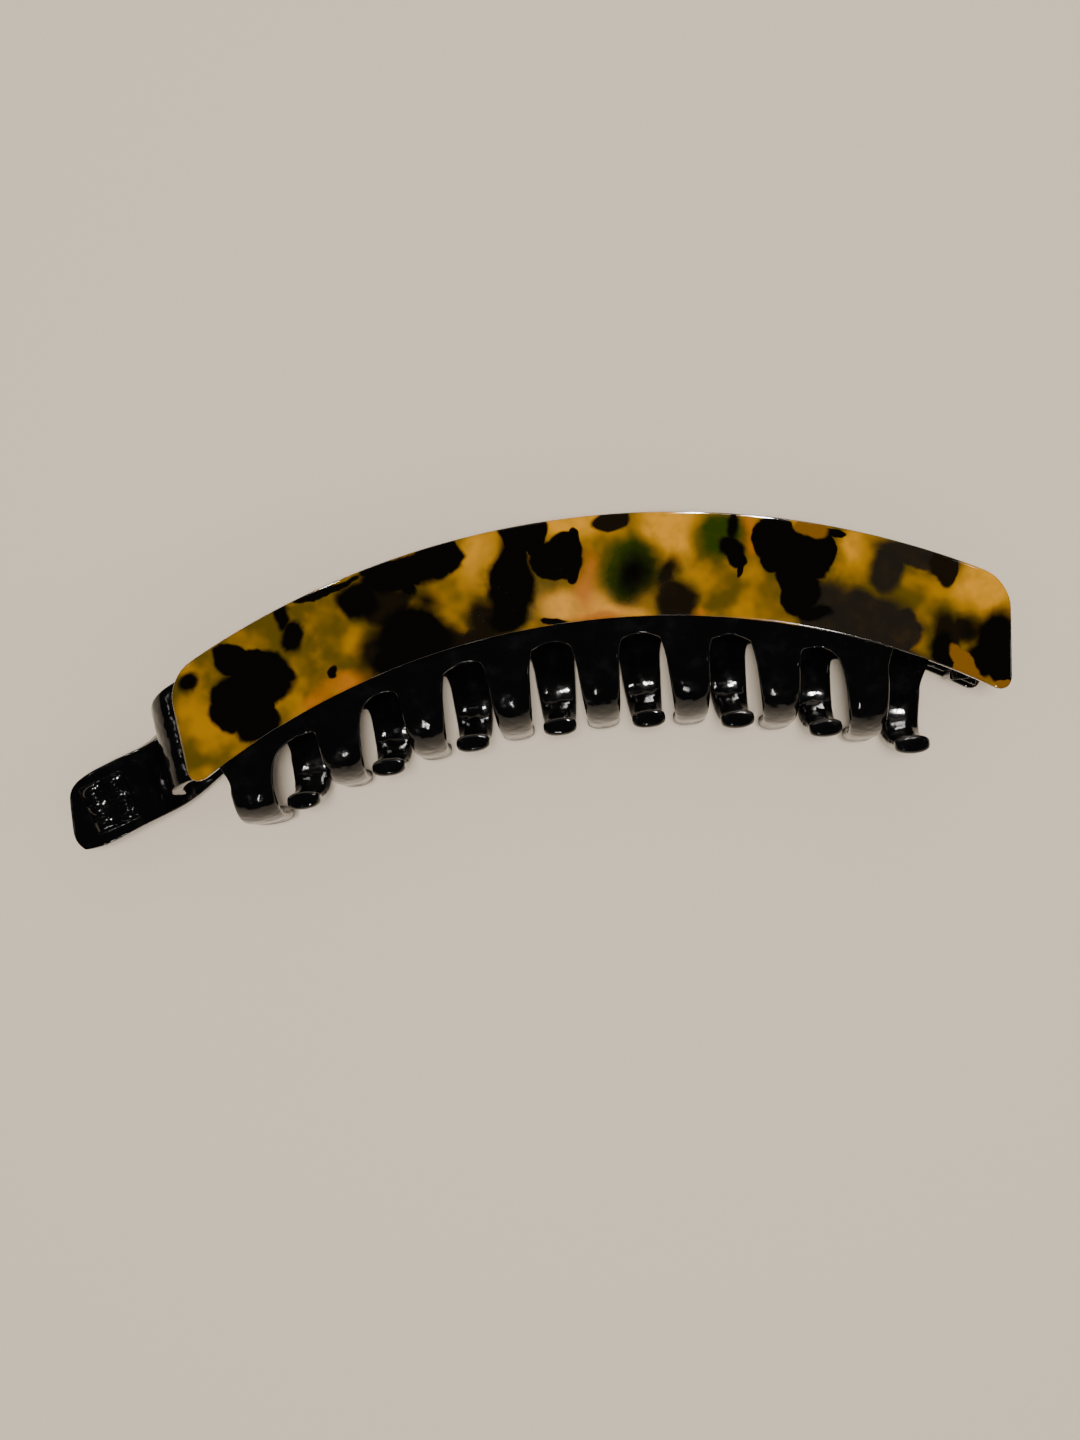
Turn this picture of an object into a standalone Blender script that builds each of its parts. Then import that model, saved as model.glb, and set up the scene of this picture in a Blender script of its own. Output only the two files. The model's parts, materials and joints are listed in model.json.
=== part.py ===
"""Closed banana hair clip: two toothed combs on one hinge, each with a flat arched plate outside.

Metres, +Z up.  The clip lies on the back plate.  X runs along the chord towards the hinge,
Y towards the crown of the arch, and Z from the back plate to the front plate.
"""
import math
from collections import namedtuple

import bmesh
import bpy
from mathutils import Matrix, Vector

MM = 0.001

# Overall sizes, in millimetres
CLIP_DEPTH = 30.0
ARCH_MID_RADIUS = 124.0
PLATE_WIDTH = 16.0
PLATE_THICKNESS = 2.2
PLATE_EDGE = 0.4
SEAT_GAP = 0.3
COMB_THICKNESS = 2.6

# An arched band: radii about the arch's centre, half lengths at its corners and corner rounds
Band = namedtuple("Band", "outer inner half_outer half_inner round_outer round_inner")
PLATE_BAND = Band(
    outer=ARCH_MID_RADIUS + PLATE_WIDTH / 2,
    inner=ARCH_MID_RADIUS - PLATE_WIDTH / 2,
    half_outer=65.4,
    half_inner=63.7,
    round_outer=4.2,
    round_inner=3.2,
)
SPINE_BAND = Band(
    outer=PLATE_BAND.outer - 1.0,
    inner=PLATE_BAND.inner + 0.7,
    half_outer=64.2,
    half_inner=62.6,
    round_outer=2.0,
    round_inner=1.5,
)
TOOTH_ROOT_RADIUS = PLATE_BAND.inner - 2.8
RAIL_LAP = 2.0
ARC_STEP = 5.5
CORNER_STEPS = 4
SHARP_ANGLE = 35.0
EDGE_CUT = 0.28

# Teeth: angle steps about the arch's centre, and their shape along their own length
TEETH = 8
TOOTH_PITCH = 7.17
BACK_FIRST_TOOTH = -24.55
FRONT_FIRST_TOOTH = BACK_FIRST_TOOTH - TOOTH_PITCH / 2
TOOTH_LEAN = 0.1
TIP_ARC_RADIUS = 150.0
TIP_ARC_X = -2.6
TIP_ARC_CROWN = 98.9
ARCH_GAP = 7.4
ARCH_HEIGHT = 3.4
TAPER_LENGTH = 16.0
TOOTH_NECK = 4.8
TOOTH_STRAIGHT = 1.05
TOOTH_REACH = 17.0
TOOTH_TIP_THICKNESS = 1.9
BEAD_EXTRA = 0.4
BEAD_THICKNESS = 2.7
BEND_STEPS = 7
# How square the bend is: 1 makes a quarter ellipse, less brings it nearer to a corner
BEND_ROUND = 0.68
# Rows above the bend: falls below the root, the first of them inside the rail
ROOT_FALLS = (-1.6, 0.05, 0.5, 1.05, 1.9, 3.2)
FULL_WIDTH_FALL = 0.15
THINNING_TRAVEL = 8.0
# Rows of the bead past the end of the bend: travel, drop, side trim and thickness trim
BEAD_ROWS = ((0.8, 0.1, 0.0, 0.0), (2.2, 0.3, 0.0, 0.0), (2.8, 0.4, 0.45, 1.0))
# The tooth nearest the clasp: its extra angle, and its width on the front comb
BACK_END_SHIFT = -0.45
FRONT_END_SHIFT = -0.9
FRONT_END_NECK = 6.7
# The back comb's tooth nearest the hinge: extra root width on the hinge side
BACK_LAST_FLARE = 1.6

# Hinge
HINGE_X = 60.2
HINGE_Y = (100.2, 116.4)
BARREL_RADIUS = 3.4
BORE_RADIUS = 1.5
PIN_RADIUS = 1.2
MIDDLE_KNUCKLE = 7.6
EAR_WIDTH = 5.4
PIN_END_GAP = 0.3
BORE_OVERRUN = 1.0

# Clasp: the front comb's curled nose and the back comb's finger tab
Strap = namedtuple("Strap", "x depth low high thickness")
NOSE_START_X = -63.4
NOSE_BULGE = 5.3
NOSE_SLANT = 0.12
NOSE_DEPTH = 14.7
NOSE_STEPS = 6
NOSE_THICKNESS = 2.2
NOSE_ROOT = (3.6, 100.8, 115.4)
NOSE_LOW = (98.8, 95.8)
NOSE_HIGH = (114.2, 109.0)
TAB = (
    Strap(x=-59.5, depth=3.8, low=100.6, high=115.8, thickness=2.4),
    Strap(x=-63.2, depth=4.2, low=98.4, high=113.6, thickness=2.4),
    Strap(x=-66.8, depth=6.2, low=95.4, high=110.6, thickness=2.5),
    Strap(x=-69.6, depth=9.6, low=93.8, high=107.4, thickness=2.6),
    Strap(x=-72.4, depth=12.4, low=92.7, high=105.0, thickness=2.8),
    Strap(x=-76.0, depth=13.1, low=91.3, high=103.7, thickness=3.0),
    Strap(x=-81.0, depth=13.2, low=89.1, high=102.0, thickness=3.0),
    Strap(x=-83.8, depth=13.2, low=88.8, high=100.6, thickness=2.8),
    Strap(x=-85.5, depth=13.2, low=90.4, high=98.8, thickness=2.4),
    Strap(x=-86.3, depth=13.2, low=92.6, high=97.2, thickness=1.8),
)
PAD_CENTRE = (-79.6, 96.0)
PAD_SIZE = (7.6, 8.4)
PAD_TILT = -18.0
PAD_TOP = 15.5
TONGUE_X = (-65.9, -64.4)
TONGUE_Y = (99.0, 105.0)
TONGUE_DEPTH = (5.0, 19.5)

BLACK = (0.006, 0.006, 0.007, 1.0)
AMBER = (0.45, 0.24, 0.03, 1.0)
STEEL = (0.55, 0.55, 0.56, 1.0)

BACK = "back"
FRONT = "front"


def clear_scene():
    """Remove every object of the start-up scene."""
    for item in list(bpy.data.objects):
        bpy.data.objects.remove(item, do_unlink=True)


def new_collection(name):
    collection = bpy.data.collections.new(name)
    bpy.context.scene.collection.children.link(collection)
    return collection


def make_material(name, colour, roughness, metallic=0.0):
    material = bpy.data.materials.new(name)
    material.use_nodes = True
    shader = material.node_tree.nodes["Principled BSDF"]
    shader.inputs["Base Color"].default_value = colour
    shader.inputs["Roughness"].default_value = roughness
    shader.inputs["Metallic"].default_value = metallic
    return material


def world_point(x, y, depth, side):
    """A point in metres from x, height above the arch's centre, and depth from its side's face."""
    z = depth if side == BACK else CLIP_DEPTH - depth
    return Vector((x, y - ARCH_MID_RADIUS, z)) * MM


def arc(centre, radius, start, end, steps):
    """Points on an arc; angles in radians from +X."""
    points = []
    for step in range(steps + 1):
        angle = start + (end - start) * step / steps
        points.append((centre[0] + radius * math.cos(angle), centre[1] + radius * math.sin(angle)))
    return points


def corner_centre(band, distance, inset):
    """Centre of a corner's round: its distance from the arch's centre, inset from the end cut."""
    high = Vector((band.half_outer, math.sqrt(band.outer ** 2 - band.half_outer ** 2)))
    low = Vector((band.half_inner, math.sqrt(band.inner ** 2 - band.half_inner ** 2)))
    along = (high - low).normalized()
    start = low + Vector((-along.y, along.x)) * inset
    middle = start.dot(along)
    travel = -middle + math.sqrt(middle ** 2 - start.length_squared + distance ** 2)
    return start + along * travel, math.atan2(-along.x, along.y)


def band_outline(band):
    """The band's closed outline, anticlockwise from the crown's left end round to it."""
    low, cut = corner_centre(band, band.inner + band.round_inner, band.round_inner)
    high, cut = corner_centre(band, band.outer - band.round_outer, band.round_outer)
    low_angle = math.atan2(low.y, low.x)
    high_angle = math.atan2(high.y, high.x)
    inner_steps = round(band.inner * (math.pi / 2 - low_angle) / ARC_STEP)
    outer_steps = round(band.outer * (math.pi / 2 - high_angle) / ARC_STEP)
    half = arc((0, 0), band.inner, math.pi / 2, low_angle, inner_steps)[:-1]
    half += arc(low, band.round_inner, low_angle - math.pi, cut, CORNER_STEPS)
    half += arc(high, band.round_outer, cut, high_angle, CORNER_STEPS)
    half += arc((0, 0), band.outer, high_angle, math.pi / 2, outer_steps)[1:]
    return half + [(-x, y) for x, y in reversed(half[1:-1])]


def tooth_turn(index, first_tooth, side):
    """A tooth's angle from the crown, in radians, with the small shift of the first tooth."""
    turn = first_tooth + TOOTH_PITCH * index
    if index == 0:
        turn += BACK_END_SHIFT if side == BACK else FRONT_END_SHIFT
    return math.radians(turn)


def tooth_rail_outline(first_tooth, side):
    """Outline of the rail under the spine that the teeth grow from, first tooth to last."""
    half_tooth = (math.radians(TOOTH_PITCH) - ARCH_GAP / TOOTH_ROOT_RADIUS) / 2
    low = math.pi / 2 - tooth_turn(0, first_tooth, side) + half_tooth
    high = math.pi / 2 - tooth_turn(TEETH - 1, first_tooth, side) - half_tooth
    if side == BACK:
        high -= BACK_LAST_FLARE / TOOTH_ROOT_RADIUS
    steps = round(TOOTH_ROOT_RADIUS * (low - high) / ARC_STEP)
    inner = arc((0, 0), TOOTH_ROOT_RADIUS, low, high, steps)
    return inner + arc((0, 0), SPINE_BAND.inner + RAIL_LAP, high, low, steps)


def link(name, mesh, collection):
    body = bpy.data.objects.new(name, mesh)
    collection.objects.link(body)
    return body


def slab(name, outline, depth, thickness, edge, side, collection):
    """A flat piece: a filled 2D curve, extruded and edge-rounded, turned into one closed mesh."""
    curve = bpy.data.curves.new(name, "CURVE")
    curve.dimensions = "2D"
    curve.fill_mode = "BOTH"
    curve.extrude = (thickness / 2 - edge) * MM
    curve.bevel_depth = edge * MM
    curve.bevel_resolution = 1
    curve.offset = -edge * MM
    spline = curve.splines.new("POLY")
    spline.points.add(len(outline) - 1)
    spline.use_cyclic_u = True
    for point, (x, y) in zip(spline.points, outline):
        point.co = (*world_point(x, y, 0, BACK).xy, 0, 1)
    shape = link(name, curve, collection)
    shape.location.z = world_point(0, 0, depth + thickness / 2, side).z
    bpy.context.view_layer.update()
    evaluated = shape.evaluated_get(bpy.context.evaluated_depsgraph_get())
    mesh = bpy.data.meshes.new_from_object(evaluated)
    mesh.transform(shape.matrix_world)
    bpy.data.objects.remove(shape)
    work = bmesh.new()
    work.from_mesh(mesh)
    bmesh.ops.remove_doubles(work, verts=work.verts, dist=0.00001)
    bmesh.ops.recalc_face_normals(work, faces=work.faces)
    work.to_mesh(mesh)
    work.free()
    return link(name, mesh, collection)


def section(centre, across, outward, width, thickness):
    """An eight-sided section: a rectangle with cut corners."""
    cut = EDGE_CUT * min(width, thickness)
    half_width = width / 2
    half_thickness = thickness / 2
    corners = [
        (half_width, half_thickness - cut), (half_width - cut, half_thickness),
        (cut - half_width, half_thickness), (-half_width, half_thickness - cut),
        (-half_width, cut - half_thickness), (cut - half_width, -half_thickness),
        (half_width - cut, -half_thickness), (half_width, cut - half_thickness),
    ]
    return [centre + (across * a + outward * b) * MM for a, b in corners]


def loft(work, sections):
    """Add one closed body through a row of sections that have equal numbers of points."""
    rings = [[work.verts.new(point) for point in ring] for ring in sections]
    faces = [work.faces.new(rings[0]), work.faces.new(rings[-1])]
    for first, second in zip(rings, rings[1:]):
        for index in range(len(first)):
            following = (index + 1) % len(first)
            corners = (first[index], first[following], second[following], second[index])
            faces.append(work.faces.new(corners))
    bmesh.ops.recalc_face_normals(work, faces=faces)


def tooth_half_width(fall, arched, neck):
    """Half width of a tooth at a fall below its root: an arch to its neighbour, then a taper."""
    root = math.radians(TOOTH_PITCH) * TOOTH_ROOT_RADIUS
    full = root - ARCH_GAP
    if fall < ARCH_HEIGHT and arched:
        share = max(fall, FULL_WIDTH_FALL) / ARCH_HEIGHT
        return (root - ARCH_GAP * math.sqrt(1 - (1 - share) ** 2)) / 2
    if fall < ARCH_HEIGHT:
        return full / 2
    narrow = min((fall - ARCH_HEIGHT) / TAPER_LENGTH, 1.0)
    return (full + (neck - full) * narrow) / 2


def tooth_sections(index, first_tooth, side):
    """Sections of one tooth from inside the spine, down and across the mid-plane to its bead."""
    neck = FRONT_END_NECK if index == 0 and side == FRONT else TOOTH_NECK
    flare = BACK_LAST_FLARE if index == TEETH - 1 and side == BACK else 0.0
    phi = tooth_turn(index, first_tooth, side)
    lean = phi * TOOTH_LEAN
    root = Vector((math.sin(phi), math.cos(phi))) * TOOTH_ROOT_RADIUS
    down = Vector((-math.sin(lean), -math.cos(lean)))
    tip_run = root.x - TIP_ARC_X
    floor = TIP_ARC_CROWN - TIP_ARC_RADIUS + math.sqrt(TIP_ARC_RADIUS ** 2 - tip_run ** 2)
    drop = (root.y - floor) / math.cos(lean)
    start_depth = PLATE_THICKNESS + SEAT_GAP + COMB_THICKNESS / 2
    bend = drop - TOOTH_STRAIGHT - BEAD_THICKNESS / 2
    path = [(fall, 0.0, 0.0) for fall in ROOT_FALLS]
    for step in range(1, BEND_STEPS + 1):
        swing = math.pi / 2 * step / BEND_STEPS
        fall = TOOTH_STRAIGHT + bend * math.sin(swing) ** BEND_ROUND
        path.append((fall, TOOTH_REACH * (1 - math.cos(swing) ** BEND_ROUND), swing))
    rows = []
    for fall, travel, swing in path:
        sideways = TOOTH_REACH * math.sin(swing) ** (2 - BEND_ROUND)
        slope = math.atan2(sideways, bend * abs(math.cos(swing)) ** (2 - BEND_ROUND))
        thinning = min(travel / THINNING_TRAVEL, 1)
        thickness = COMB_THICKNESS + (TOOTH_TIP_THICKNESS - COMB_THICKNESS) * thinning
        length = fall + travel * 0.5
        low = tooth_half_width(length, index > 0, neck)
        high = tooth_half_width(length, index < TEETH - 1, neck) + flare * (1 - max(fall, 0) / drop)
        rows.append((fall, travel, slope, low, high, thickness))
    fall, travel, slope, *_ = rows[-1]
    bead = (neck + BEAD_EXTRA) / 2
    for ahead, rise, trim, thin in BEAD_ROWS:
        side_half = bead - trim
        rows.append((fall - rise, travel + ahead, slope, side_half, side_half, BEAD_THICKNESS - thin))
    across = Vector((math.cos(lean), -math.sin(lean), 0))
    inward = 1 if side == BACK else -1
    sections = []
    for fall, travel, slope, low, high, thickness in rows:
        place = root + down * fall + across.xy * (high - low) / 2
        centre = world_point(place.x, place.y, start_depth + travel, side)
        outward = Vector((*(down * math.sin(slope)), -inward * math.cos(slope)))
        sections.append(section(centre, across, outward, low + high, thickness))
    return sections


def strap_sections(stations, side, slant=0.0):
    """Sections of a broad strap that bends in the X-Z plane; its width runs along Y, or slants."""
    inward = 1 if side == BACK else -1
    across = Vector((-slant, 1, 0))
    sections = []
    for index, station in enumerate(stations):
        before = stations[max(index - 1, 0)]
        after = stations[min(index + 1, len(stations) - 1)]
        run = Vector((after.x - before.x, 0, (after.depth - before.depth) * inward)).normalized()
        outward = Vector((run.z, 0, -run.x))
        centre = world_point(station.x, (station.low + station.high) / 2, station.depth, side)
        width = station.high - station.low
        sections.append(section(centre, across, outward, width, station.thickness))
    return sections


def nose_stations():
    """The front comb's end: from the spine round a quarter ellipse to the mid-plane."""
    start_depth = PLATE_THICKNESS + SEAT_GAP + COMB_THICKNESS / 2
    inset, low, high = NOSE_ROOT
    stations = [Strap(NOSE_START_X + inset, start_depth, low, high, NOSE_THICKNESS)]
    for step in range(NOSE_STEPS + 1):
        swing = math.pi / 2 * step / NOSE_STEPS
        x = NOSE_START_X - NOSE_BULGE * math.sin(swing)
        depth = start_depth + (NOSE_DEPTH - start_depth) * (1 - math.cos(swing))
        share = step / NOSE_STEPS
        low = NOSE_LOW[0] + (NOSE_LOW[1] - NOSE_LOW[0]) * share
        high = NOSE_HIGH[0] + (NOSE_HIGH[1] - NOSE_HIGH[0]) * share
        stations.append(Strap(x, depth, low, high, NOSE_THICKNESS))
    return stations


def box(name, x_range, y_range, depth_range, side, collection):
    """A plain block between two opposite corners."""
    low = world_point(x_range[0], y_range[0], depth_range[0], side)
    high = world_point(x_range[1], y_range[1], depth_range[1], side)
    size = Vector([abs(b - a) for a, b in zip(low, high)])
    work = bmesh.new()
    placing = Matrix.LocRotScale((low + high) / 2, None, size)
    bmesh.ops.create_cube(work, size=1.0, matrix=placing)
    mesh = bpy.data.meshes.new(name)
    work.to_mesh(mesh)
    work.free()
    return link(name, mesh, collection)


def rod(name, y_range, radius, segments, collection):
    """A round bar along Y on the hinge's axis."""
    low = world_point(HINGE_X, y_range[0], CLIP_DEPTH / 2, BACK)
    high = world_point(HINGE_X, y_range[1], CLIP_DEPTH / 2, BACK)
    turn = Matrix.Rotation(math.pi / 2, 4, "X")
    work = bmesh.new()
    bmesh.ops.create_cone(
        work, cap_ends=True, segments=segments, radius1=radius * MM, radius2=radius * MM,
        depth=(high - low).length, matrix=Matrix.Translation((low + high) / 2) @ turn)
    mesh = bpy.data.meshes.new(name)
    work.to_mesh(mesh)
    work.free()
    return link(name, mesh, collection)


def lofted(name, groups, collection):
    """One object that holds a closed loft for each group of sections."""
    work = bmesh.new()
    for sections in groups:
        loft(work, sections)
    mesh = bpy.data.meshes.new(name)
    work.to_mesh(mesh)
    work.free()
    return link(name, mesh, collection)


def combine(body, tool, operation, guides):
    """Join or cut with a hidden tool, and keep the result as the body's mesh."""
    step = body.modifiers.new(tool.name, "BOOLEAN")
    step.operation = operation
    step.solver = "EXACT"
    step.object = tool
    bpy.context.view_layer.update()
    evaluated = body.evaluated_get(bpy.context.evaluated_depsgraph_get())
    mesh = bpy.data.meshes.new_from_object(evaluated)
    body.modifiers.clear()
    body.data = mesh
    guides.append(tool)


def knuckles(side):
    """Y ranges of one comb's hinge knuckles: two outer on the back comb, one middle on the front."""
    low, high = HINGE_Y
    middle = (low + high) / 2
    near = middle - MIDDLE_KNUCKLE / 2
    far = middle + MIDDLE_KNUCKLE / 2
    if side == FRONT:
        return [(near, far)]
    return [(low, near - SEAT_GAP), (far + SEAT_GAP, high)]


def comb(name, first_tooth, side, collection, guides):
    """One moulded comb: spine, teeth, knuckles and its own end of the clasp."""
    depth = PLATE_THICKNESS + SEAT_GAP
    outline = band_outline(SPINE_BAND)
    body = slab(name, outline, depth, COMB_THICKNESS, PLATE_EDGE, side, collection)
    rail_outline = tooth_rail_outline(first_tooth, side)
    rail = slab(name + "_rail", rail_outline, depth, COMB_THICKNESS, PLATE_EDGE, side, collection)
    combine(body, rail, "UNION", guides)
    rows = [tooth_sections(index, first_tooth, side) for index in range(TEETH)]
    teeth = lofted(name + "_teeth", rows, collection)
    combine(body, teeth, "UNION", guides)
    for index, y_range in enumerate(knuckles(side)):
        ear_x = (HINGE_X - EAR_WIDTH / 2, HINGE_X + EAR_WIDTH / 2)
        ear_depth = (depth + COMB_THICKNESS / 2, CLIP_DEPTH / 2)
        ear = box(f"{name}_ear_{index}", ear_x, y_range, ear_depth, side, collection)
        barrel = rod(f"{name}_barrel_{index}", y_range, BARREL_RADIUS, 24, collection)
        combine(ear, barrel, "UNION", guides)
        combine(body, ear, "UNION", guides)
    bore_rows = (HINGE_Y[0] - BORE_OVERRUN, HINGE_Y[1] + BORE_OVERRUN)
    bore = rod(name + "_bore", bore_rows, BORE_RADIUS, 16, collection)
    combine(body, bore, "DIFFERENCE", guides)
    return body


def add_nose(body, collection, guides):
    nose = lofted("nose", [strap_sections(nose_stations(), FRONT, NOSE_SLANT)], collection)
    combine(body, nose, "UNION", guides)


def add_tab(body, collection, guides):
    tab = lofted("tab", [strap_sections(TAB, BACK)], collection)
    combine(body, tab, "UNION", guides)
    tongue = box("tongue", TONGUE_X, TONGUE_Y, TONGUE_DEPTH, BACK, collection)
    combine(body, tongue, "UNION", guides)
    half_x, half_y = PAD_SIZE[0] / 2, PAD_SIZE[1] / 2
    pad = box("pad", (-half_x, half_x), (-half_y, half_y), (TAB[6].depth, PAD_TOP), BACK, collection)
    centre = world_point(0, 0, 0, BACK)
    place = world_point(*PAD_CENTRE, 0, BACK)
    turn = Matrix.Rotation(math.radians(-PAD_TILT), 4, "Z")
    pad.data.transform(Matrix.Translation(place) @ turn @ Matrix.Translation(-centre))
    combine(body, pad, "UNION", guides)


def finish(body, material):
    body.data.materials.clear()
    body.data.materials.append(material)
    body.data.shade_smooth()
    body.data.set_sharp_from_angle(angle=math.radians(SHARP_ANGLE))


def main():
    clear_scene()
    clip = new_collection("banana_hair_clip")
    guides = []
    black = make_material("black_plastic", BLACK, 0.12)
    amber = make_material("tortoiseshell", AMBER, 0.1)
    steel = make_material("steel", STEEL, 0.3, 1.0)

    outline = band_outline(PLATE_BAND)
    back_plate = slab("back_plate", outline, 0, PLATE_THICKNESS, PLATE_EDGE, BACK, clip)
    front_plate = slab("front_plate", outline, 0, PLATE_THICKNESS, PLATE_EDGE, FRONT, clip)
    back_comb = comb("back_comb", BACK_FIRST_TOOTH, BACK, clip, guides)
    front_comb = comb("front_comb", FRONT_FIRST_TOOTH, FRONT, clip, guides)
    add_tab(back_comb, clip, guides)
    add_nose(front_comb, clip, guides)
    pin_rows = (HINGE_Y[0] + PIN_END_GAP, HINGE_Y[1] - PIN_END_GAP)
    pin = rod("hinge_pin", pin_rows, PIN_RADIUS, 16, clip)
    for body in (back_plate, front_plate):
        finish(body, amber)
    for body in (back_comb, front_comb):
        finish(body, black)
    finish(pin, steel)
    for tool in guides:
        bpy.data.objects.remove(tool)

    # The front half turns about this pivot on the hinge's axis
    pivot = bpy.data.objects.new("front_half_pivot", None)
    clip.objects.link(pivot)
    pivot.location = world_point(HINGE_X, sum(HINGE_Y) / 2, CLIP_DEPTH / 2, BACK)
    for body in (front_comb, front_plate):
        body.data.transform(Matrix.Translation(-pivot.location))
        body.parent = pivot


main()
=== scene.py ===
"""Looks of a closed banana hair clip: arched plates, toothed combs, hinge, clasp and stage."""
import json
import math
from collections import namedtuple

import bmesh
import bpy
from bpy.props import FloatProperty, FloatVectorProperty, IntProperty, PointerProperty
from mathutils import Matrix, Vector


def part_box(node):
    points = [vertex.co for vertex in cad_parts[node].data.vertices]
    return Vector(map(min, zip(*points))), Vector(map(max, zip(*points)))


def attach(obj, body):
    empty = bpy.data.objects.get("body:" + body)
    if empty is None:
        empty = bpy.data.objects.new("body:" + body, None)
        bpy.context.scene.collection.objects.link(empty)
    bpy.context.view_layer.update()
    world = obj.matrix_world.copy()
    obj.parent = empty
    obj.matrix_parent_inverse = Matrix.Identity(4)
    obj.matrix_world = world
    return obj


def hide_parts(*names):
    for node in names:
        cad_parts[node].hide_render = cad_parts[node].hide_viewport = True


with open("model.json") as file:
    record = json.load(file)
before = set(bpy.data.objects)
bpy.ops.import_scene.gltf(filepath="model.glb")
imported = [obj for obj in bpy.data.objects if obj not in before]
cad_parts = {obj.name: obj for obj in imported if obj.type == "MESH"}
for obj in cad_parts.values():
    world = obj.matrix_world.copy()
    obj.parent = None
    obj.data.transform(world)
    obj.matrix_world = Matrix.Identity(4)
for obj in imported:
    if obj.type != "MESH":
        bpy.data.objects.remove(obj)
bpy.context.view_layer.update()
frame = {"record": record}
RECORD = frame["record"]

bl_info = {
    "name": "Banana hair clip",
    "version": (1, 0, 0),
    "blender": (4, 5, 0),
    "location": "View3D > Sidebar > Hair clip",
    "description": "Builds the looks of a tortoiseshell banana hair clip on its packed frame",
    "category": "Object",
}

MM = 0.001
BACK = "back"
FRONT = "front"
TAU = 2 * math.pi

# The arch, in millimetres: rows are measured from its centre, depths from each side's face
CLIP_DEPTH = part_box("front_plate")[1].z / MM
ARCH_RADIUS = 124.0
PLATE_RADII = (116.0, 132.0)
PLATE_HALF = (63.7, 65.4)
END_COLUMN = 2.7
SPINE_RADII = (116.7, 121.5, 126.2, 131.0)
SPINE_HALF_INNER = 62.6
SPINE_HALF_OUTER = 64.2
ROOT_RADIUS = 113.2
COMB_DEPTH = 3.8
COMB_THICKNESS = 2.6
SHEET_THICKNESS = 3.0
ARC_STEP = 2.4
# Columns of a tooth: places across its half width, and shares of its thickness
TOOTH_COLUMNS = (-1, -0.45, 0.45, 1)
TOOTH_OVAL = (0.58, 1.04, 1.04, 0.58)

# Teeth: angles in degrees about the arch's centre, lengths in millimetres
TEETH = 8
PITCH = 7.17
FIRST_TOOTH = {BACK: -24.55, FRONT: -28.135}
END_SHIFT = {BACK: -0.45, FRONT: -0.9}
END_NECK = {BACK: 4.8, FRONT: 6.7}
TOOTH_NECK = 4.8
TOOTH_LEAN = 0.1
TIP_ARC_RADIUS = 150.0
TIP_ARC_X = -2.6
TIP_ARC_CROWN = 98.9
ARCH_GAP = 7.4
ARCH_HEIGHT = 3.4
# Rounding of an arch: rise of its crown, fall and spread of its feet, and its share of thickness
ARCH_RISE = 0.55
ARCH_FALL = 0.5
ARCH_SPREAD = 0.62
ARCH_THIN = 0.8
TAPER_LENGTH = 16.0
TOOTH_STRAIGHT = 1.05
TOOTH_REACH = 17.0
TIP_THICKNESS = 1.9
THINNING_REACH = 8.0
# Rows of a tooth's bead: rise, reach past the bend, narrowing and share of thickness
BEAD_ROWS = ((0.0, 0.7, 0.0, 1.0), (0.1, 2.0, 0.0, 1.0), (0.2, 2.8, 0.5, 0.7))
TIP_ALLOWANCE = 2.25
BEND_STEPS = 7
BEND_ROUND = 0.68
ARCH_ROW_FALL = 3.0
LAST_FLARE = {BACK: 1.6, FRONT: 0.0}

# Hinge and clasp
HINGE = Vector(RECORD["behaviour"]["joints"][0]["pos_m"]) / MM
KNUCKLE_ROWS = {BACK: ((-23.8, -19.8), (-11.6, -7.6)), FRONT: ((-19.5, -11.9),)}
BARREL_RADIUS = 3.4
BORE_RADIUS = 1.5
PIN_RADIUS = 1.2
WEB_HALF = 2.7

Station = namedtuple("Station", "x depth low high thickness")
NOSE_ROUND = 0.75
NOSE = tuple(
    Station(
        x=-63.4 - 5.3 * math.sin(turn) ** NOSE_ROUND,
        depth=COMB_DEPTH + 10.9 * (1 - math.cos(turn) ** NOSE_ROUND),
        low=98.8 - 3.0 * turn / (math.pi / 2),
        high=114.2 - 5.2 * turn / (math.pi / 2),
        thickness=2.2,
    )
    for turn in (math.radians(angle) for angle in (15, 33, 52, 71, 90))
)
NOSE_SLANT = 0.12
TAB = (
    Station(-66.8, 6.2, 95.4, 110.6, 2.5),
    Station(-69.6, 9.6, 93.8, 107.4, 2.6),
    Station(-72.4, 12.4, 92.7, 105.0, 2.8),
    Station(-76.0, 13.1, 91.3, 103.7, 3.0),
    Station(-81.0, 13.2, 89.1, 102.0, 3.0),
    Station(-84.6, 13.2, 88.8, 100.4, 2.7),
    Station(-86.3, 13.2, 90.6, 98.4, 2.2),
)
PAD_PLACE = (-79.6, 96.0 - ARCH_RADIUS, 14.2)
PAD_RISE = 0.9
PAD_SIZE = (7.6, 8.4)
# Insets of each grip cushion and their rises
PAD_CUSHION = ((0.20, 0.0), (0.45, 0.45), (0.55, 0.30))
PAD_TURN = 18.0
# The catch's tongue: its box, and its share of width at three heights
TONGUE = (-65.9, -64.4, 99.0 - ARCH_RADIUS, 105.0 - ARCH_RADIUS, 5.0, 19.5)
TONGUE_WIDTHS = ((11.0, 1.0), (16.5, 0.92), (19.5, 0.74))

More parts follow.
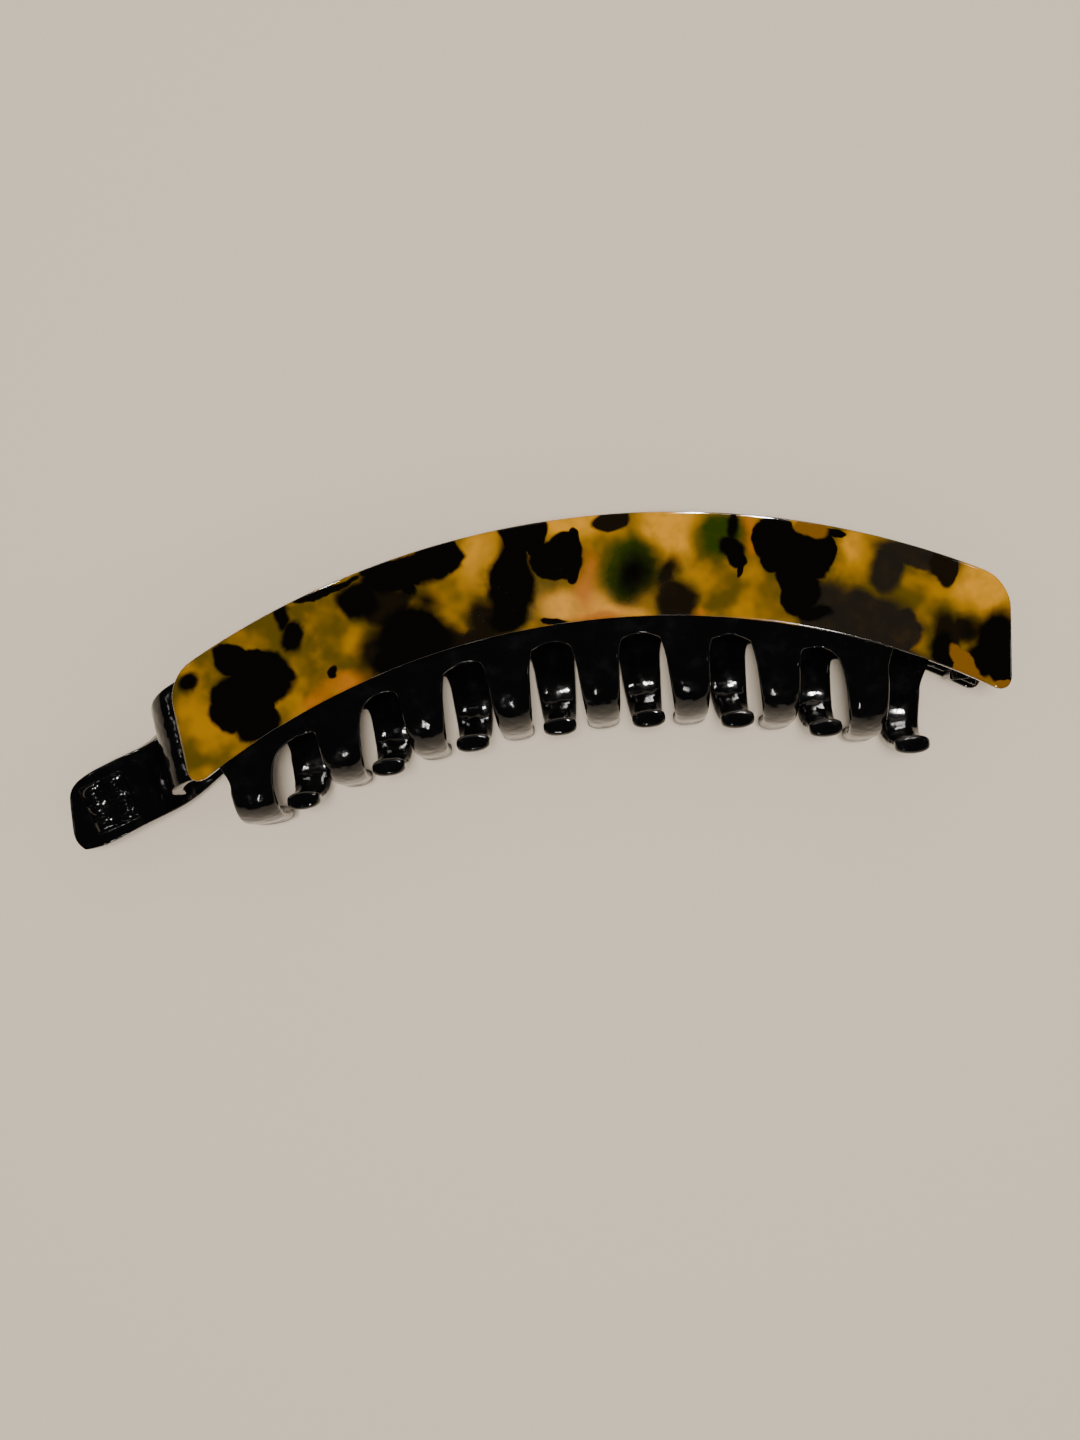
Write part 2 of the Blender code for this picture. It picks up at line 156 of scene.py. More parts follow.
# Blotches of the acetate by tone, later tones over earlier ones: place and half lengths in
# millimetres, turn in degrees, and how soft the rim is
BLOTCHES = {
    "bright": (
        ((-15.1, 3.3), (2.8, 5.1), -7, 0.6),
        ((-0.7, 7.2), (5.1, 2.3), -7, 0.5),
        ((-2.2, -5.4), (6.0, 2.3), -7, 0.5),
        ((61.2, -9.2), (4.2, 4.6), -7, 0.5),
        ((13.9, 3.7), (4.9, 4.4), -7, 0.5),
        ((5.2, -7.4), (4.6, 1.6), -7, 0.5),
        ((42.1, -1.5), (2.3, 2.3), -7, 0.6),
    ),
    "orange": (
        ((-38.4, -13.1), (3.2, 1.8), -7, 0.5),
        ((-42.5, -15.0), (2.6, 1.3), 18, 0.6),
        ((1.5, -7.6), (3.6, 0.9), -7, 0.6),
        ((16.8, -8.4), (2.0, 0.8), -7, 0.6),
        ((26.4, 2.2), (1.3, 3.0), -7, 0.3),
        ((0.7, -1.8), (1.8, 4.2), -7, 0.6),
    ),
    "olive": (
        ((-53.9, -10.3), (7.6, 5.8), -7, 0.5),
        ((-41.5, -8.5), (3.0, 6.0), -7, 0.7),
        ((-45.3, -3.9), (3.5, 4.4), -7, 0.6),
        ((-29.8, 0.8), (7.6, 3.9), 8, 0.5),
        ((-27.1, -7.4), (6.9, 4.9), -7, 0.5),
        ((-11.8, -2.2), (5.3, 7.6), -7, 0.5),
        ((-4.3, 0.9), (5.2, 3.6), -7, 0.4),
        ((8.6, -1.5), (5.8, 4.5), -7, 0.5),
        ((13.8, -6.1), (4.1, 3.6), -7, 0.5),
        ((22.2, 0.9), (4.4, 4.6), -7, 0.5),
        ((33.8, -5.1), (6.2, 6.9), -7, 0.4),
        ((42.9, -11.3), (9.0, 5.1), -17, 0.5),
        ((51.1, -4.6), (7.6, 2.9), -19, 0.5),
        ((55.4, -17.6), (4.9, 5.1), -7, 0.5),
        ((61.4, -19.5), (3.9, 5.3), -7, 0.5),
        ((-39.2, 0.1), (6.9, 2.3), 13, 0.5),
    ),
    "grey": (
        ((42.8, -12.9), (8.4, 4.6), -19, 0.25),
        ((48.1, -15.0), (2.8, 3.9), -7, 0.15),
        ((38.5, -13.8), (6.8, 2.0), -19, 0.15),
        ((44.3, -17.8), (7.4, 2.4), -22, 0.2),
        ((47.0, -4.9), (2.6, 4.6), -7, 0.25),
        ((51.4, -3.9), (6.9, 2.0), -22, 0.2),
        ((37.0, -10.0), (4.6, 3.6), -19, 0.4),
        ((-19.6, -9.0), (2.5, 1.4), -7, 0.6),
    ),
    "brown": (
        ((-21.1, -8.7), (3.5, 3.0), -7, 0.5),
        ((-30.6, -2.2), (3.6, 2.9), -7, 0.3),
        ((-17.6, -8.6), (4.6, 2.0), 13, 0.4),
        ((-15.1, -6.2), (3.3, 3.6), -7, 0.5),
        ((-33.0, -9.5), (2.6, 4.6), -7, 0.6),
        ((14.2, -6.6), (3.1, 3.4), -7, 0.3),
        ((13.3, -2.3), (1.8, 3.1), -27, 0.5),
        ((5.5, 6.9), (3.0, 2.1), 1, 0.12),
        ((54.4, -18.9), (2.6, 4.1), -7, 0.35),
        ((-32.2, 0.6), (2.5, 2.1), -7, 0.4),
        ((55.5, -6.3), (2.1, 2.8), -7, 0.12),
        ((54.5, -17.3), (2.7, 4.4), -7, 0.3),
        ((57.4, -16.0), (2.3, 2.1), -7, 0.5),
        ((-24.2, -2.0), (2.2, 1.7), -7, 1.0),
    ),
    "green": (
        ((7.6, -0.6), (4.1, 5.2), -27, 0.35),
        ((22.1, 2.3), (3.8, 3.6), -7, 0.35),
    ),
    "black": (
        ((23.3, 0.3), (2.2, 1.6), -7, 0.2),
        ((24.0, 3.6), (1.0, 2.8), -7, 0.4),
        ((-55.2, -13.7), (3.3, 4.6), -7, 0.15),
        ((-49.3, -10.4), (3.4, 3.9), -7, 0.1),
        ((-52.3, -18.1), (3.3, 3.1), 18, 0.1),
        ((-27.0, 2.7), (7.4, 2.7), 11, 0.18),
        ((-26.7, -7.2), (6.2, 4.6), -7, 0.18),
        ((-28.0, -10.4), (5.9, 3.1), 13, 0.15),
        ((-10.9, -1.4), (3.5, 7.7), -7, 0.18),
        ((-9.2, 6.1), (2.7, 3.3), -7, 0.12),
        ((-3.6, 1.6), (4.0, 3.0), -7, 0.08),
        ((-1.9, 3.4), (2.5, 2.6), -7, 0.1),
        ((-6.2, 5.5), (1.6, 3.1), -7, 0.15),
        ((-5.2, -7.3), (2.1, 0.6), -7, 0.2),
        ((62.1, -18.8), (3.6, 5.4), -12, 0.3),
        ((-62.1, -11.0), (1.6, 1.8), -7, 0.35),
        ((-54.3, -7.7), (4.1, 2.2), -19, 0.1),
        ((-51.0, -11.6), (5.2, 4.3), -7, 0.1),
        ((-48.1, -10.1), (2.5, 2.8), -7, 0.15),
        ((-56.1, -16.0), (3.7, 2.7), -7, 0.12),
        ((-52.4, -17.7), (3.5, 3.7), -22, 0.12),
        ((-45.2, -5.3), (2.1, 2.4), -7, 0.25),
        ((-46.5, -2.1), (1.2, 2.1), -7, 0.3),
        ((-39.5, 1.3), (5.8, 0.7), 14, 0.15),
        ((-34.7, -0.8), (3.3, 2.6), -7, 0.25),
        ((-21.4, 4.4), (4.3, 3.0), 3, 0.1),
        ((-30.2, 3.6), (4.2, 1.1), 13, 0.15),
        ((-27.0, 0.7), (1.6, 2.6), -7, 0.3),
        ((-39.6, -11.2), (0.7, 1.3), -7, 0.2),
        ((-9.9, 2.7), (2.5, 2.9), -7, 0.15),
        ((-10.7, -2.1), (2.2, 3.7), -7, 0.2),
        ((-12.0, -6.5), (3.2, 2.1), -7, 0.25),
        ((-3.7, 1.1), (3.9, 2.5), -7, 0.08),
        ((-1.0, 3.8), (1.4, 1.8), -7, 0.15),
        ((-6.3, 3.7), (1.2, 1.3), -7, 0.2),
        ((23.8, -1.3), (1.5, 2.0), -7, 0.12),
        ((23.8, -3.3), (0.5, 1.6), -7, 0.15),
        ((30.2, 1.6), (3.1, 3.9), -27, 0.06),
        ((34.4, -2.2), (3.9, 4.3), -7, 0.08),
        ((37.1, -1.6), (2.0, 3.7), -7, 0.08),
        ((32.1, -5.4), (2.4, 2.9), -7, 0.1),
        ((33.3, -7.6), (2.8, 3.3), -7, 0.12),
        ((34.5, -11.0), (3.3, 1.2), -15, 0.3),
        ((39.6, 1.1), (2.2, 0.6), -15, 0.1),
        ((62.2, -19.4), (2.9, 4.1), -7, 0.3),
        ((60.3, -21.0), (3.0, 3.0), -7, 0.2),
        ((62.5, -22.4), (1.9, 2.9), -7, 0.15),
        ((30.0, -1.4), (2.2, 3.1), -7, 0.08),
        ((32.1, -7.2), (2.0, 3.6), -7, 0.1),
        ((53.6, -19.1), (2.1, 3.1), -7, 0.25),
        ((8.4, -2.0), (3.0, 3.9), -27, 0.9),
        ((61.6, -16.8), (3.5, 2.2), -7, 0.6),
        ((-50.9, -8.3), (3.6, 2.1), -7, 0.1),
        ((-51.2, -14.5), (2.6, 2.5), -7, 0.12),
        ((-1.1, -0.5), (1.2, 1.3), -7, 0.1),
        ((-0.6, 4.6), (1.2, 1.7), -7, 0.1),
    ),
    "amber": (
        ((35.9, 2.0), (2.6, 1.6), -12, 0.15),
        ((57.3, -21.7), (1.6, 3.9), 31, 0.1),
        ((56.5, -22.3), (1.7, 2.0), -7, 0.1),
        ((58.3, -23.8), (1.7, 1.2), -22, 0.1),
        ((62.3, -24.9), (1.1, 0.5), 3, 0.15),
    ),
}
# One more on the back plate, where its edge shows beside the hinge
BACK_ONLY = ((-49.6, -21.6), (8.5, 3.4), 31, 0.1)
BACK_BLOTCHES = {**BLOTCHES, "black": (*BLOTCHES["black"], BACK_ONLY)}
CLOUDED = {"bright": 0.6, "olive": 0.45, "grey": 0.96, "green": 0.85}


def colour_property(name, description, colour):
    return FloatVectorProperty(
        name=name, description=description, default=colour, size=3, min=0.0, max=1.0, subtype="COLOR")


def length_property(name, description, millimetres):
    return FloatProperty(
        name=name, description=description, default=millimetres * MM, min=0.0, unit="LENGTH")


class PlateSettings(bpy.types.PropertyGroup):
    """Sizes of the arched plates."""

    thickness: length_property("Thickness", "Thickness of a plate", 2.2)
    edge_round: length_property("Edge round", "Polished round along a plate's edges", 0.42)
    corner_outer: length_property("Outer corner", "Corner round at the crown side", 4.2)
    corner_inner: length_property("Inner corner", "Corner round at the tooth side", 3.2)
    arc_steps: IntProperty(name="Arc steps", description="Faces along a plate", default=64, min=8)


class CombSettings(bpy.types.PropertyGroup):
    """Sizes of the toothed combs."""

    edge_round: length_property("Edge round", "Moulded round along the comb's edges", 0.45)
    bead_extra: length_property("Bead width", "How much wider a tooth's bead is than its neck", 0.5)
    bead_thickness: length_property("Bead thickness", "Thickness of a tooth's bead", 2.9)
    smoothness: IntProperty(
        name="Smoothness", description="Subdivision levels", default=2, min=0, max=3)


class FinishSettings(bpy.types.PropertyGroup):
    """Colours of the acetate, the moulded plastic and the pin."""

    base: colour_property("Amber", "Ground colour of the acetate", (0.36, 0.168, 0.0015))
    olive: colour_property("Olive", "Deeper veins of the ground colour", (0.088, 0.056, 0.001))
    bright: colour_property("Light amber", "Clear fields", (0.67, 0.295, 0.011))
    orange: colour_property("Orange", "Warm fields", (0.40, 0.135, 0.006))
    grey: colour_property("Grey brown", "Milky brown blotches", (0.0125, 0.0095, 0.0065))
    brown: colour_property("Brown", "Deep brown blotches", (0.0070, 0.0045, 0.0015))
    green: colour_property("Green black", "Greenish blotches", (0.018, 0.035, 0.001))
    black: colour_property("Black", "Darkest blotches", (0.0012, 0.0009, 0.0004))
    amber: colour_property("Amber over black", "Small fields over the blotches", (0.18, 0.076, 0.002))
    comb: colour_property("Comb", "Moulded plastic", (0.0018, 0.0018, 0.0020))
    pin: colour_property("Pin", "Drawn steel wire", (0.50, 0.50, 0.51))


class StageSettings(bpy.types.PropertyGroup):
    """Floor and light of the studio."""

    floor: colour_property("Floor", "Plain pale floor", (0.80, 0.69, 0.545))
    room: FloatProperty(
        name="Room light", description="Strength of the even light", default=0.025, min=0.0)
    power: FloatProperty(
        name="Studio light", description="Factor on every light's power", default=1.0, min=0.0)


class Wire:
    """One output of a material's node; plain arithmetic on it adds Math nodes."""

    def __init__(self, finish, socket):
        self.finish = finish
        self.socket = socket

    def math(self, operation, *values):
        return self.finish.node("ShaderNodeMath", {"operation": operation}, dict(enumerate(values)))

    def __add__(self, other):
        return self.math("ADD", self, other)

    def __radd__(self, other):
        return self.math("ADD", other, self)

    def __sub__(self, other):
        return self.math("SUBTRACT", self, other)

    def __rsub__(self, other):
        return self.math("SUBTRACT", other, self)

    def __mul__(self, other):
        return self.math("MULTIPLY", self, other)

    def __rmul__(self, other):
        return self.math("MULTIPLY", other, self)

    def larger(self, other):
        return self.math("MAXIMUM", self, other)


class Finish:
    """A material and the one method that adds its nodes."""

    def __init__(self, name):
        self.material = bpy.data.materials.new(name)
        self.material.use_nodes = True
        self.tree = self.material.node_tree
        self.shader = self.tree.nodes["Principled BSDF"]

    def node(self, kind, settings, sockets, output=0):
        made = self.tree.nodes.new(kind)
        for key, value in settings.items():
            setattr(made, key, value)
        for key, value in sockets.items():
            self.feed(made.inputs[key], value)
        return Wire(self, made.outputs[output])

    def feed(self, socket, value):
        if isinstance(value, Wire):
            self.tree.links.new(value.socket, socket)
        elif hasattr(value, "__len__") and socket.type == "RGBA":
            socket.default_value = (*value, 1.0)
        else:
            socket.default_value = value

    def place(self, scale):
        """Object coordinates with each axis scaled, in millimetres where the scale is 1000."""
        point = self.node("ShaderNodeTexCoord", {}, {}, "Object")
        return self.vector("MULTIPLY", point, scale)

    def vector(self, operation, first, second, output=0):
        sockets = {0: first, 1: second}
        return self.node("ShaderNodeVectorMath", {"operation": operation}, sockets, output)

    def noise(self, point, scale, detail=2.0, roughness=0.5, output="Fac"):
        sockets = {"Vector": point, "Scale": scale, "Detail": detail, "Roughness": roughness}
        return self.node("ShaderNodeTexNoise", {}, sockets, output)

    def warp(self, point, scale, reach, detail=1.0):
        """Push a point about by a noise, up to half its reach each way."""
        push = self.vector("SUBTRACT", self.noise(point, scale, detail, 0.5, "Color"), (0.5, 0.5, 0.5))
        return self.vector("ADD", point, self.vector("MULTIPLY", push, (reach, reach, 0.0)))

    def turned(self, point, degrees):
        """Turn coordinates about the plate's own axis."""
        sockets = {"Vector": point, "Angle": math.radians(degrees)}
        return self.node("ShaderNodeVectorRotate", {"rotation_type": "Z_AXIS"}, sockets)

    def spread(self, value, low, high, first=0.0, last=1.0):
        """Map a value smoothly from the range low-high to the range first-last."""
        sockets = {0: value, 1: low, 2: high, 3: first, 4: last}
        return self.node("ShaderNodeMapRange", {"interpolation_type": "SMOOTHSTEP"}, sockets)

    def blend(self, factor, first, second):
        """Mix two colours by a mask."""
        return self.node("ShaderNodeMix", {"data_type": "RGBA"}, {0: factor, 6: first, 7: second}, 2)

    def bump(self, height, strength, distance, normal=None):
        sockets = {"Height": height, "Strength": strength, "Distance": distance}
        if normal is not None:
            sockets["Normal"] = normal
        return self.node("ShaderNodeBump", {}, sockets)

    def fill(self, sockets):
        for key, value in sockets.items():
            self.feed(self.shader.inputs[key], value)
        return self.material


def blotch_reach(finish, point, place, size, turn):
    """How far a point in turned coordinates is from a blotch's middle, 1 on its oval rim."""
    centre = Matrix.Rotation(math.radians(-turn), 2) @ Vector(place)
    along, wide = size
    sockets = {
        0: point,
        1: (1 / along, 1 / wide, 0.0),
        2: (-centre.x / along, -centre.y / wide, 0.0),
    }
    local = finish.node("ShaderNodeVectorMath", {"operation": "MULTIPLY_ADD"}, sockets)
    return finish.vector("LENGTH", local, (0.0, 0.0, 0.0), "Value")


def tortoiseshell(name, scale, shift, colours, blotches):
    """Polished acetate: amber ground, soft fields and dark blotches with wandering rims."""
    finish = Finish(name)
    flat = finish.vector("ADD", finish.place(scale), shift)
    ground = finish.spread(finish.noise(flat, 0.16, 2.0), 0.35, 0.65)
    bent = finish.warp(finish.warp(flat, 0.2, 2.4, 0.0), 0.6, 0.9, 1.0)
    turns = {turn for rows in blotches.values() for place, size, turn, soft in rows}
    points = {turn: finish.turned(bent, -turn) for turn in sorted(turns)}
    cloud = finish.noise(flat, 0.4, 2.0)
    colour = finish.blend(ground, colours.olive, colours.base)
    for tone, rows in blotches.items():
        mask = None
        for place, size, turn, soft in rows:
            reach = blotch_reach(finish, points[turn], place, size, turn)
            part = finish.spread(reach, 1 + soft, 1 - soft)
            mask = part if mask is None else mask.larger(part)
        if tone in CLOUDED:
            mask = mask * finish.spread(cloud, 0.25, 0.65, CLOUDED[tone], 1.0)
        colour = finish.blend(mask, colour, getattr(colours, tone))
    haze = finish.noise(flat, 1.6, 3.0)
    ripple = finish.noise(flat, 0.09, 1.0)
    return finish.fill({
        "Base Color": colour,
        "Roughness": finish.spread(haze, 0.3, 0.7, 0.05, 0.10),
        "Normal": finish.bump(ripple, 0.25, 0.00006),
        "IOR": 1.49,
        "Coat Weight": 0.6,
        "Coat Roughness": 0.03,
    })


def moulded_black(name, colour):
    """Glossy moulded plastic: faint flow ripples, fine pits and a little rub wear."""
    finish = Finish(name)
    point = finish.place((1000.0, 1000.0, 1000.0))
    flow = finish.noise(point, 0.45, 1.0)
    pits = finish.noise(point, 2.5, 1.0)
    rub = finish.noise(point, 0.35, 4.0, 0.6)
    ripple = finish.bump(flow, 0.4, 0.0005)
    skin = finish.bump(pits, 0.15, 0.00006, ripple)
    worn = finish.spread(rub, 0.5, 0.75)
    rubbed = tuple(level * 1.8 + 0.001 for level in colour)
    return finish.fill({
        "Base Color": finish.blend(worn, tuple(colour), rubbed),
        "Roughness": finish.spread(rub, 0.3, 0.8, 0.07, 0.2),
        "Normal": skin,
        "IOR": 1.5,
        "Specular IOR Level": 0.35,
    })


def drawn_steel(name, colour):
    """Plain drawn wire: fine rings of streaks round the pin."""
    finish = Finish(name)
    point = finish.place((400.0, 6000.0, 400.0))
    streak = finish.noise(point, 1.0, 3.0)
    tone = finish.blend(streak, tuple(level * 0.75 for level in colour), tuple(colour))
    return finish.fill({
        "Base Color": tone,
        "Metallic": 1.0,
        "Roughness": finish.spread(streak, 0.2, 0.8, 0.22, 0.38),
        "Normal": finish.bump(streak, 0.15, 0.00003),
    })


def floor_finish(name, colour):
    """Plain matt card."""
    finish = Finish(name)
    point = finish.place((1.0, 1.0, 1.0))
    grain = finish.noise(point, 900.0, 2.0)
    tone = finish.blend(grain, tuple(level * 0.985 for level in colour), tuple(colour))
    return finish.fill({"Base Color": tone, "Roughness": 0.9, "Specular IOR Level": 0.1})


def world_z(depth, side):
    return depth if side == BACK else CLIP_DEPTH - depth


def at_angle(radius, degrees, depth, side):
    """A point in millimetres on a row of the arch; angles run from the crown towards the hinge."""
    turn = math.radians(degrees)
    height = radius * math.cos(turn) - ARCH_RADIUS
    return Vector((radius * math.sin(turn), height, world_z(depth, side)))


def sweep(work, geometry, degrees, steps):
    """Spin edges about the arch's centre towards the hinge; returns the last row."""
    made = bmesh.ops.spin(
        work, geom=geometry, cent=(0, -ARCH_RADIUS, 0), axis=(0, 0, -1), dvec=(0, 0, 0),
        angle=math.radians(degrees), space=Matrix.Identity(4), steps=steps,
        use_merge=False, use_normal_flip=False, use_duplicate=False)
    return made["geom_last"]


def verts_of(geometry):
    return [item for item in geometry if isinstance(item, bmesh.types.BMVert)]


def raise_faces(work, rise):
    """Extrude a flat outline by a vector into a closed solid."""
    grown = bmesh.ops.extrude_face_region(work, geom=work.faces[:])
    bmesh.ops.translate(work, vec=rise, verts=verts_of(grown["geom"]))
    bmesh.ops.recalc_face_normals(work, faces=work.faces)


def start_column(work, radii, degrees, depth, side):
    column = [work.verts.new(at_angle(radius, degrees, depth, side)) for radius in radii]
    return column + [work.edges.new(pair) for pair in zip(column, column[1:])]


def radius_and_angle(point):
    high = point.y + ARCH_RADIUS
    return math.hypot(point.x, high), math.degrees(math.atan2(point.x, high))


def add_piece(name, work, body, slot, material, *replaced):
    """Turn a bmesh in millimetres into a finished piece at the origin."""
    bmesh.ops.scale(work, vec=(MM, MM, MM), verts=work.verts)
    mesh = bpy.data.meshes.new(name)
    work.to_mesh(mesh)
    work.free()
    mesh.shade_smooth()
    mesh.materials.append(material)
    piece = bpy.data.objects.new(name, mesh)
    bpy.context.scene.collection.objects.link(piece)
    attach(piece, body)
    if replaced:
        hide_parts(*replaced)
    return piece


def soften(piece, edge_round, segments, levels, angle=40.0):
    """Round a piece's sharp edges, then subdivide it where levels ask for it."""
    edges = piece.modifiers.new("edge_round", "BEVEL")
    edges.width = edge_round
    edges.segments = segments
    edges.limit_method = "ANGLE"
    edges.angle_limit = math.radians(angle)
    if levels:
        smooth = piece.modifiers.new("smooth", "SUBSURF")
        smooth.levels = levels
        smooth.render_levels = levels
    return piece


def plate_piece(name, side, material, sizes):
    """A flat arched plate with round corners and a polished edge."""
    body = side + "_half"
    inner, outer = PLATE_RADII
    half_inner, half_outer = PLATE_HALF
    foot = math.degrees(math.asin(half_inner / inner))
    head = math.degrees(math.asin(half_outer / outer))
    work = bmesh.new()
    column = start_column(work, PLATE_RADII, -foot, 0.0, BACK)
    middle = 2 * (foot - END_COLUMN)
    for degrees, steps in ((END_COLUMN, 1), (middle, sizes.arc_steps), (END_COLUMN, 1)):
        column = sweep(work, column, degrees, steps)
    for vert in work.verts:
        radius, degrees = radius_and_angle(vert.co)
        if radius > ARCH_RADIUS:
            vert.co = at_angle(radius, degrees * head / foot, 0.0, BACK)
    corners = [vert for vert in work.verts if len(vert.link_faces) == 1]
    low = [vert for vert in corners if radius_and_angle(vert.co)[0] < ARCH_RADIUS]
    high = [vert for vert in corners if vert not in low]
    for chosen, size in ((low, sizes.corner_inner), (high, sizes.corner_outer)):
        bmesh.ops.bevel(
            work, geom=chosen, offset=size / MM, offset_type="OFFSET", segments=8, profile=0.5,
            affect="VERTICES", material=-1)
    thickness = sizes.thickness / MM
    raise_faces(work, (0, 0, thickness))
    rims = [edge for edge in work.edges if edge.calc_face_angle(0) > math.radians(60)]
    bmesh.ops.bevel(
        work, geom=rims, offset=sizes.edge_round / MM, offset_type="OFFSET", segments=4, profile=0.5,
        affect="EDGES", material=-1)
    for direction in (-1, 1):
        flat = [face for face in work.faces if face.normal.z * direction > 0.999]
        bmesh.ops.inset_region(work, faces=flat, thickness=0.25, use_even_offset=True)
    if side == FRONT:
        bmesh.ops.translate(work, vec=(0, 0, CLIP_DEPTH - thickness), verts=work.verts)
    return add_piece(name, work, body, "tortoiseshell", material, side + "_plate")


def tooth_half_width(fall, neck):
    """Half width of a tooth at a fall below its root: full width under the arch, then a taper."""
    full = math.radians(PITCH) * ROOT_RADIUS - ARCH_GAP
    narrow = min(max(fall - ARCH_HEIGHT, 0.0) / TAPER_LENGTH, 1.0)
    return (full + (neck - full) * narrow) / 2


def tooth_rows(index, side, sizes):
    """Rows of one tooth: centre, direction across it, half width and thickness."""
    neck = END_NECK[side] if index == 0 else TOOTH_NECK
    phi = math.radians(tooth_angle(index, side))
    lean = phi * TOOTH_LEAN
    root = Vector((math.sin(phi), math.cos(phi))) * ROOT_RADIUS
    down = Vector((-math.sin(lean), -math.cos(lean)))
    across = Vector((math.cos(lean), -math.sin(lean), 0))
    tip_run = root.x - TIP_ARC_X
    floor = TIP_ARC_CROWN - TIP_ARC_RADIUS + math.sqrt(TIP_ARC_RADIUS ** 2 - tip_run ** 2)
    bend = (root.y - floor) / math.cos(lean) - TIP_ALLOWANCE
    path = [(ARCH_ROW_FALL, 0.0, tooth_half_width(ARCH_ROW_FALL, neck), COMB_THICKNESS)]
    for step in range(1, BEND_STEPS + 1):
        swing = math.pi / 2 * step / BEND_STEPS
        fall = TOOTH_STRAIGHT + bend * math.sin(swing) ** BEND_ROUND
        travel = TOOTH_REACH * (1 - math.cos(swing) ** BEND_ROUND)
        half = tooth_half_width(fall + travel * 0.5, neck)
        thinning = min(travel / THINNING_REACH, 1)
        thickness = COMB_THICKNESS + (TIP_THICKNESS - COMB_THICKNESS) * thinning
        path.append((fall, travel, half, thickness))
    fall = path[-1][0]
    bead = (neck + sizes.bead_extra / MM) / 2
    thick = sizes.bead_thickness / MM
    for rise, past, narrowing, share in BEAD_ROWS:
        path.append((fall - rise, TOOTH_REACH + past, bead - narrowing, thick * share))
    flare = LAST_FLARE[side] if index == TEETH - 1 else 0.0
    for fall, travel, half, thickness in path:
        extra = flare * (1 - fall / (bend + TIP_ALLOWANCE + TOOTH_STRAIGHT)) / 2
        place = root + down * fall
        depth = world_z(COMB_DEPTH + travel, side)
        centre = Vector((place.x, place.y - ARCH_RADIUS, depth)) + across * extra
        yield centre, across, half + extra, thickness


def tooth_angle(index, side):
    shift = END_SHIFT[side] if index == 0 else 0.0
    return FIRST_TOOTH[side] + shift + PITCH * index


def extend(work, edges):
    """Extrude a row of edges and return its new edges and its new vertices in order."""
    made = bmesh.ops.extrude_edge_only(work, edges=edges)["geom"]
    verts = verts_of(made)
    fresh = [item for item in made if isinstance(item, bmesh.types.BMEdge)]
    ends = set(verts)
    row = [edge for edge in fresh if edge.verts[0] in ends and edge.verts[1] in ends]
    return row, verts


